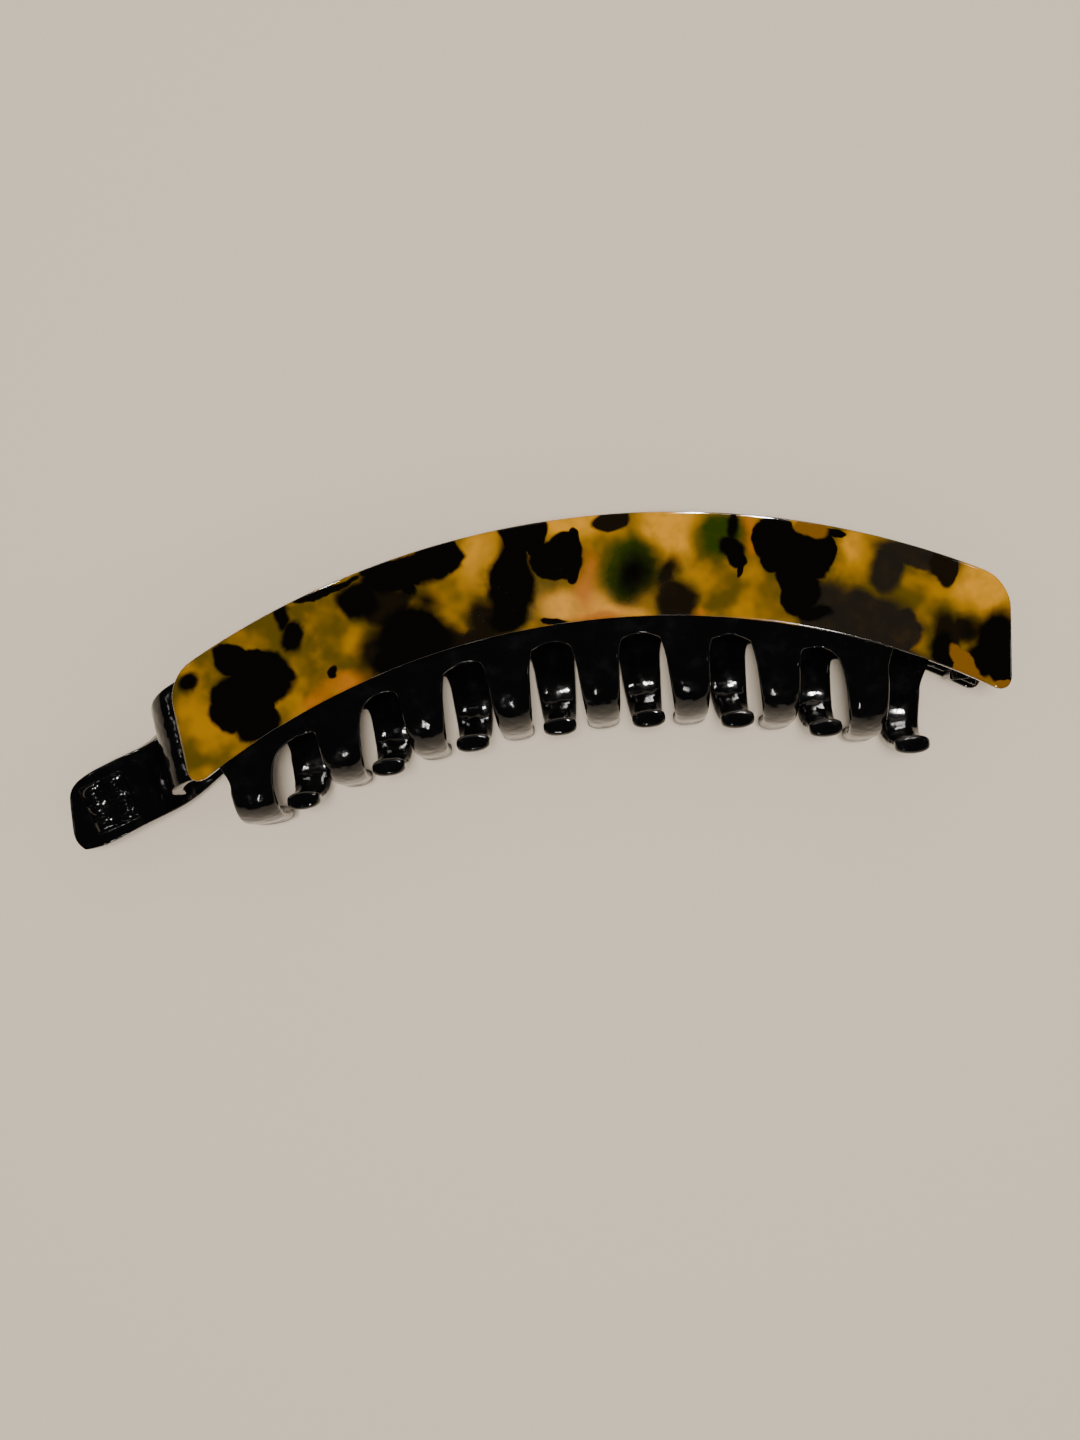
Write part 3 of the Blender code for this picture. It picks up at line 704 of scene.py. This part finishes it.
def comb_sheet(side, sizes):
    """The comb's middle surface: spine, rail, teeth and the end of the clasp, one sheet of quads."""
    work = bmesh.new()
    layer = work.verts.layers.deform.verify()
    plain = COMB_THICKNESS / SHEET_THICKNESS
    foot = math.degrees(math.asin(SPINE_HALF_INNER / SPINE_RADII[0]))
    head = math.degrees(math.asin(SPINE_HALF_OUTER / SPINE_RADII[-1]))
    half_tooth = (PITCH - math.degrees(ARCH_GAP / ROOT_RADIUS)) / 2
    stops = []
    last_flare = math.degrees(LAST_FLARE[side] / ROOT_RADIUS)
    for index in range(TEETH):
        middle = tooth_angle(index, side)
        flare = last_flare if index == TEETH - 1 else 0.0
        stops += [(middle - half_tooth, 2), (middle + half_tooth + flare, 3)]
    stops[0] = (stops[0][0], max(1, round((stops[0][0] + foot) / ARC_STEP)))
    stops.append((foot, max(1, round((foot - stops[-1][0]) / ARC_STEP))))
    column = start_column(work, SPINE_RADII, -foot, COMB_DEPTH, side)
    reached = -foot
    for angle, steps in stops:
        column = sweep(work, column, angle - reached, steps)
        reached = angle
    for vert in work.verts:
        vert[layer][0] = plain
        radius, degrees = radius_and_angle(vert.co)
        share = (radius - SPINE_RADII[0]) / (SPINE_RADII[-1] - SPINE_RADII[0])
        vert.co = at_angle(radius, degrees * (1 + (head / foot - 1) * share), COMB_DEPTH, side)

    def lower_edges(low, high):
        chosen = []
        for edge in work.edges:
            spots = [radius_and_angle(vert.co) for vert in edge.verts]
            if all(abs(radius - SPINE_RADII[0]) < 0.05 for radius, degrees in spots) and all(
                    low - 0.01 < degrees < high + 0.01 for radius, degrees in spots):
                chosen.append(edge)
        return chosen

    low = tooth_angle(0, side) - half_tooth
    high = tooth_angle(TEETH - 1, side) + half_tooth + last_flare
    rail, verts = extend(work, lower_edges(low, high))
    for vert in verts:
        radius, degrees = radius_and_angle(vert.co)
        vert.co = at_angle(ROOT_RADIUS, degrees, COMB_DEPTH, side)
    mids = [(tooth_angle(i, side) + tooth_angle(i + 1, side)) / 2 for i in range(TEETH - 1)]
    for index in range(TEETH):
        first = tooth_angle(index, side) - half_tooth - 0.01
        last = first + 2 * half_tooth + 0.02 + (last_flare if index == TEETH - 1 else 0.0)
        row = [
            edge for edge in rail
            if all(first < radius_and_angle(vert.co)[1] < last for vert in edge.verts)
        ]
        for centre, across, half, thickness in tooth_rows(index, side, sizes):
            row, verts = extend(work, row)
            verts.sort(key=lambda vert: vert.co.x)
            for share, part, vert in zip(TOOTH_COLUMNS, TOOTH_OVAL, verts):
                vert.co = centre + across * half * share
                vert[layer][0] = min(thickness * part / SHEET_THICKNESS, 1.0)
    for vert in work.verts:
        radius, degrees = radius_and_angle(vert.co)
        if abs(radius - ROOT_RADIUS) > 0.02 or abs(vert.co.z - world_z(COMB_DEPTH, side)) > 0.01:
            continue
        for middle in mids:
            away = degrees - middle
            if abs(away) < 0.3:
                vert.co = at_angle(ROOT_RADIUS + ARCH_RISE, degrees, COMB_DEPTH, side)
                vert[layer][0] = plain * ARCH_THIN
            elif abs(abs(away) - (PITCH / 2 - half_tooth)) < 0.6:
                shift = math.degrees(ARCH_SPREAD / ROOT_RADIUS) * (-1 if away > 0 else 1)
                vert.co = at_angle(ROOT_RADIUS - ARCH_FALL, degrees + shift, COMB_DEPTH, side)
                vert[layer][0] = plain * ARCH_THIN
    clasp_end(work, layer, side)
    bmesh.ops.recalc_face_normals(work, faces=work.faces)
    return work


def clasp_end(work, layer, side):
    """Extrude the comb's end into the curled nose or the finger tab."""
    work.edges.ensure_lookup_table()
    row = [
        edge for edge in work.edges
        if len(edge.link_faces) == 1 and edge.verts[0].co.x < -60 and edge.verts[1].co.x < -60
        and all(radius_and_angle(vert.co)[0] > SPINE_RADII[0] - 0.3 for vert in edge.verts)
        and abs(edge.verts[0].co.x - edge.verts[1].co.x) < abs(edge.verts[0].co.y - edge.verts[1].co.y)
    ]
    stations = TAB if side == BACK else NOSE
    slant = 0.0 if side == BACK else NOSE_SLANT
    for station in stations:
        row, verts = extend(work, row)
        verts.sort(key=lambda vert: vert.co.y)
        middle = (station.low + station.high) / 2
        for index, vert in enumerate(verts):
            height = station.low + (station.high - station.low) * index / (len(verts) - 1)
            x = station.x - slant * (height - middle)
            vert.co = (x, height - ARCH_RADIUS, world_z(station.depth, side))
            vert[layer][0] = station.thickness / SHEET_THICKNESS


def comb_piece(name, side, material, sizes):
    """One moulded comb, thickened from its middle surface."""
    body = side + "_half"
    work = comb_sheet(side, sizes)
    piece = add_piece(name, work, body, "black_plastic", material, side + "_comb")
    piece.vertex_groups.new(name="thickness")
    wall = piece.modifiers.new("wall", "SOLIDIFY")
    wall.thickness = SHEET_THICKNESS * MM
    wall.offset = 0.0
    wall.vertex_group = "thickness"
    wall.use_even_offset = True
    return soften(piece, sizes.edge_round, 2, sizes.smoothness, 50.0)


def knuckle_piece(name, side, rows, material):
    """A web that stands on the spine and rounds into a bored barrel."""
    low, high = rows
    work = bmesh.new()
    tangent = math.sqrt(BARREL_RADIUS ** 2 - WEB_HALF ** 2)
    inward = 1 if side == BACK else -1
    base = world_z(COMB_DEPTH, side)
    axis = Vector((HINGE.x, low, HINGE.z))
    start = work.verts.new((HINGE.x + WEB_HALF, low, base))
    foot = work.verts.new((HINGE.x + WEB_HALF, low, HINGE.z - inward * tangent))
    work.edges.new((start, foot))
    bound = 2 * math.atan2(WEB_HALF, tangent)
    made = bmesh.ops.spin(
        work, geom=[foot], cent=axis, axis=(0, -inward, 0), angle=TAU - bound, steps=20,
        use_merge=False, use_normal_flip=False, use_duplicate=False)
    last = verts_of(made["geom_last"])[0]
    end = work.verts.new((HINGE.x - WEB_HALF, low, base))
    work.edges.new((last, end))
    work.edges.new((end, start))
    outline = work.edges[:]
    turn = Matrix.Translation(axis) @ Matrix.Rotation(math.pi / 2, 4, "X")
    ring = bmesh.ops.create_circle(work, cap_ends=False, segments=24, radius=BORE_RADIUS, matrix=turn)
    bore = list({edge for vert in ring["verts"] for edge in vert.link_edges})
    bmesh.ops.bridge_loops(work, edges=outline + bore)
    raise_faces(work, (0, high - low, 0))
    piece = add_piece(name, work, side + "_half", "black_plastic", material)
    return soften(piece, 0.22 * MM, 2, 0, 50.0)


def pin_piece(name, material):
    """A wire pin with chamfered ends, turned about the hinge's axis."""
    low, high = (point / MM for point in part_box("hinge_pin"))
    ends = ((0.0, low.y), (PIN_RADIUS - 0.3, low.y), (PIN_RADIUS, low.y + 0.3),
            (PIN_RADIUS, high.y - 0.3), (PIN_RADIUS - 0.3, high.y), (0.0, high.y))
    work = bmesh.new()
    chain = [work.verts.new((HINGE.x + radius, height, HINGE.z)) for radius, height in ends]
    edges = [work.edges.new(pair) for pair in zip(chain, chain[1:])]
    bmesh.ops.spin(
        work, geom=chain + edges, cent=HINGE, axis=(0, 1, 0), angle=TAU, steps=32,
        use_merge=True, use_normal_flip=False, use_duplicate=False)
    bmesh.ops.remove_doubles(work, verts=work.verts, dist=0.001)
    bmesh.ops.recalc_face_normals(work, faces=work.faces)
    piece = add_piece(name, work, "back_half", "pin_steel", material, "hinge_pin")
    piece.data.set_sharp_from_angle(angle=math.radians(35))
    return piece


def grip_pad_piece(name, material):
    """A low pad on the finger tab, with soft grip cushions in rows."""
    work = bmesh.new()
    turn = Matrix.Translation(PAD_PLACE) @ Matrix.Rotation(math.radians(PAD_TURN), 4, "Z")
    size = Matrix.Diagonal((PAD_SIZE[0] / 2, PAD_SIZE[1] / 2, 1.0, 1.0))
    bmesh.ops.create_grid(work, x_segments=2, y_segments=3, size=1.0, matrix=turn @ size)
    raise_faces(work, (0, 0, PAD_RISE))
    cells = [face for face in work.faces if face.normal.z > 0.9]
    for inset, rise in PAD_CUSHION:
        bmesh.ops.inset_individual(
            work, faces=cells, thickness=inset, depth=rise, use_even_offset=True)
    piece = add_piece(name, work, "back_half", "black_plastic", material)
    return soften(piece, 0.12 * MM, 1, 2, 60.0)


def tongue_piece(name, material):
    """The catch: a straight tongue that narrows to a rounded lip, inside the nose."""
    x_low, x_high, y_low, y_high, z_low, z_high = TONGUE
    work = bmesh.new()
    middle = Vector(((x_low + x_high) / 2, (y_low + y_high) / 2, (z_low + z_high) / 2))
    size = Matrix.Diagonal((x_high - x_low, y_high - y_low, z_high - z_low, 1.0))
    bmesh.ops.create_cube(work, size=1.0, matrix=Matrix.Translation(middle) @ size)
    axis = Matrix.Translation((-middle.x, -middle.y, 0))
    for height, narrow in TONGUE_WIDTHS:
        whole = work.verts[:] + work.edges[:] + work.faces[:]
        bmesh.ops.bisect_plane(work, geom=whole, plane_co=(0, 0, height), plane_no=(0, 0, 1))
        ring = [vert for vert in work.verts if abs(vert.co.z - height) < 0.01]
        bmesh.ops.scale(work, vec=(narrow, narrow, 1), verts=ring, space=axis)
    bmesh.ops.recalc_face_normals(work, faces=work.faces)
    piece = add_piece(name, work, "back_half", "black_plastic", material)
    return soften(piece, 0.3 * MM, 3, 0, 50.0)


class HAIRCLIP_OT_plates(bpy.types.Operator):
    """Build the two arched tortoiseshell plates"""

    bl_idname = "hairclip.plates"
    bl_label = "Arched plates"

    def execute(self, context):
        sizes = context.scene.clip_plate
        colours = context.scene.clip_finish
        front = tortoiseshell(
            "acetate_front", (1000.0, 1000.0, 0.0), (0.0, 0.0, 0.0), colours, BLOTCHES)
        back = tortoiseshell(
            "acetate_back", (-1000.0, 1000.0, 0.0), (7.0, 0.0, 0.0), colours, BACK_BLOTCHES)
        plate_piece("front_arched_plate", FRONT, front, sizes)
        plate_piece("back_arched_plate", BACK, back, sizes)
        return {"FINISHED"}


class HAIRCLIP_OT_combs(bpy.types.Operator):
    """Build the two toothed combs with the nose and the finger tab"""

    bl_idname = "hairclip.combs"
    bl_label = "Toothed combs"

    def execute(self, context):
        sizes = context.scene.clip_comb
        black = moulded_black("moulded_black", context.scene.clip_finish.comb)
        comb_piece("front_toothed_comb", FRONT, black, sizes)
        comb_piece("back_toothed_comb", BACK, black, sizes)
        return {"FINISHED"}


class HAIRCLIP_OT_hinge(bpy.types.Operator):
    """Build the hinge's knuckles and its pin"""

    bl_idname = "hairclip.hinge"
    bl_label = "Hinge"

    def execute(self, context):
        black = bpy.data.materials["moulded_black"]
        for side, ranges in KNUCKLE_ROWS.items():
            for index, rows in enumerate(ranges):
                knuckle_piece(f"{side}_knuckle_{index + 1}", side, rows, black)
        pin_piece("hinge_wire_pin", drawn_steel("drawn_steel", context.scene.clip_finish.pin))
        return {"FINISHED"}


class HAIRCLIP_OT_clasp(bpy.types.Operator):
    """Build the grip pad and the catch's tongue"""

    bl_idname = "hairclip.clasp"
    bl_label = "Clasp details"

    def execute(self, context):
        black = bpy.data.materials["moulded_black"]
        grip_pad_piece("tab_grip_pad", black)
        tongue_piece("catch_tongue", black)
        return {"FINISHED"}


WARM = (1.0, 0.965, 0.93)
EYE = Vector((-1.5, -17.0, 381.0))
AIM = Vector((-8.8, -22.4, 30.0))
IMAGE_UP = Vector((0.1149, 0.9934, 0.0))
LENS = 57.0
SENSOR = 36.0
FLOOR_HALF = 4.0
# Studio lights: place, aim, size, power, and whether glossy skins mirror them
LIGHTS = (
    ("overhead_soft", (250, 150, 1600), (0, 0, 0), 2600, 16, False),
    ("front_fill", (-1.5, -17, 900), (-1.5, -17, 0), 120, 7.2, False),
    ("left_glow", (-950, -100, 620), (0, 0, 0), 90, 0.2, True),
    ("right_glow", (950, -150, 620), (0, 0, 0), 120, 0.35, True),
    ("far_glow", (-100, 1150, 700), (0, 0, 0), 160, 0.12, True),
)
# Glints of the polished edges: where each lies, the edge's compass turn, its width and its power
GLINTS = (
    ("crest_glint", (19.8, 6.5, 29.6), 7.4, 14, 3.0),
    ("shoulder_glint", (28.5, 4.1, 29.6), 12.5, 18, 4.0),
    ("lower_glint", (38.6, -14.0, 29.6), 198.4, 12, 0.35),
    ("ridge_glint", (-38.4, 0.9, 29.6), 342.9, 12, 0.7),
)
GLINT_TILT = math.radians(30)
GLINT_LENGTH = 90
GLINT_DISTANCE = 500
# Small lights behind the clip that only glossy skins show
SPARKS = (("left_spark", (-330, 240, 560)), ("right_spark", (300, 260, 560)))
SPARK_AIM = (0, -20, 15)
SPARK_SIZE = 24
SPARK_POWER = 0.08


def soft_light(name, place, aim, size, power, length=None):
    """A rectangular studio light that faces a point; places in millimetres."""
    lamp = bpy.data.lights.new(name, "AREA")
    lamp.shape = "RECTANGLE"
    lamp.size = size * MM
    lamp.size_y = (length or size) * MM
    lamp.energy = power
    lamp.color = WARM
    light = bpy.data.objects.new(name, lamp)
    bpy.context.scene.collection.objects.link(light)
    light.location = Vector(place) * MM
    direction = Vector(aim) - Vector(place)
    light.rotation_euler = direction.to_track_quat("-Z", "Y").to_euler()
    return light


def edge_glint(name, spot, degrees, width, power):
    """A small light that a round edge mirrors to the camera; it adds no diffuse light."""
    turn = math.radians(degrees)
    slope = math.sin(GLINT_TILT)
    normal = Vector((math.sin(turn) * slope, math.cos(turn) * slope, math.cos(GLINT_TILT)))
    view = (EYE - Vector(spot)).normalized()
    place = Vector(spot) - view.reflect(normal) * GLINT_DISTANCE
    glint = soft_light(name, place, spot, width, power, GLINT_LENGTH)
    glint.visible_diffuse = False


def photo_camera():
    """A camera that sees the clip at the photograph's angle; places in millimetres."""
    forward = (AIM - EYE).normalized()
    right = forward.cross(IMAGE_UP).normalized()
    high = right.cross(forward)
    turn = Matrix((right, high, -forward)).transposed().to_4x4()
    lens = bpy.data.cameras.new("photo_camera")
    lens.lens = LENS
    lens.sensor_width = SENSOR
    lens.clip_start = 0.01
    camera = bpy.data.objects.new("photo_camera", lens)
    bpy.context.scene.collection.objects.link(camera)
    camera.matrix_world = Matrix.Translation(EYE * MM) @ turn
    bpy.context.scene.camera = camera


class HAIRCLIP_OT_stage(bpy.types.Operator):
    """Build the floor, the studio lights and the camera"""

    bl_idname = "hairclip.stage"
    bl_label = "Stage"

    def execute(self, context):
        settings = context.scene.clip_stage
        work = bmesh.new()
        bmesh.ops.create_grid(work, x_segments=1, y_segments=1, size=FLOOR_HALF)
        mesh = bpy.data.meshes.new("floor")
        work.to_mesh(mesh)
        work.free()
        mesh.materials.append(floor_finish("pale_card", settings.floor))
        floor = bpy.data.objects.new("floor", mesh)
        context.scene.collection.objects.link(floor)
        world = bpy.data.worlds.new("studio")
        world.use_nodes = True
        background = world.node_tree.nodes["Background"]
        background.inputs["Color"].default_value = (1.0, 0.97, 0.94, 1.0)
        background.inputs["Strength"].default_value = settings.room
        context.scene.world = world
        power = settings.power
        for name, place, aim, size, strength, glossy in LIGHTS:
            light = soft_light(name, place, aim, size, strength * power)
            light.visible_glossy = glossy
        for name, spot, degrees, width, strength in GLINTS:
            edge_glint(name, spot, degrees, width, strength * power)
        for name, place in SPARKS:
            spark = soft_light(name, place, SPARK_AIM, SPARK_SIZE, SPARK_POWER * power)
            spark.visible_diffuse = False
        photo_camera()
        return {"FINISHED"}


class HAIRCLIP_PT_sidebar(bpy.types.Panel):
    """Sizes, colours and build steps of the hair clip"""

    bl_idname = "HAIRCLIP_PT_sidebar"
    bl_label = "Hair clip"
    bl_space_type = "VIEW_3D"
    bl_region_type = "UI"
    bl_category = "Hair clip"

    def draw(self, context):
        for group in (context.scene.clip_plate, context.scene.clip_comb,
                      context.scene.clip_finish, context.scene.clip_stage):
            box = self.layout.box()
            for key in group.__annotations__:
                box.prop(group, key)
        for step in STEPS:
            self.layout.operator(step.bl_idname)


STEPS = (
    HAIRCLIP_OT_plates,
    HAIRCLIP_OT_combs,
    HAIRCLIP_OT_hinge,
    HAIRCLIP_OT_clasp,
    HAIRCLIP_OT_stage,
)
SETTINGS = {
    "clip_plate": PlateSettings,
    "clip_comb": CombSettings,
    "clip_finish": FinishSettings,
    "clip_stage": StageSettings,
}


def register():
    for name, group in SETTINGS.items():
        bpy.utils.register_class(group)
        setattr(bpy.types.Scene, name, PointerProperty(type=group))
    for item in (*STEPS, HAIRCLIP_PT_sidebar):
        bpy.utils.register_class(item)


def unregister():
    for item in reversed((*STEPS, HAIRCLIP_PT_sidebar)):
        bpy.utils.unregister_class(item)
    for name, group in SETTINGS.items():
        delattr(bpy.types.Scene, name)
        bpy.utils.unregister_class(group)


def main():
    register()
    bpy.ops.hairclip.plates()
    bpy.ops.hairclip.combs()
    bpy.ops.hairclip.hinge()
    bpy.ops.hairclip.clasp()
    bpy.ops.hairclip.stage()


if __name__ == "__main__":
    main()
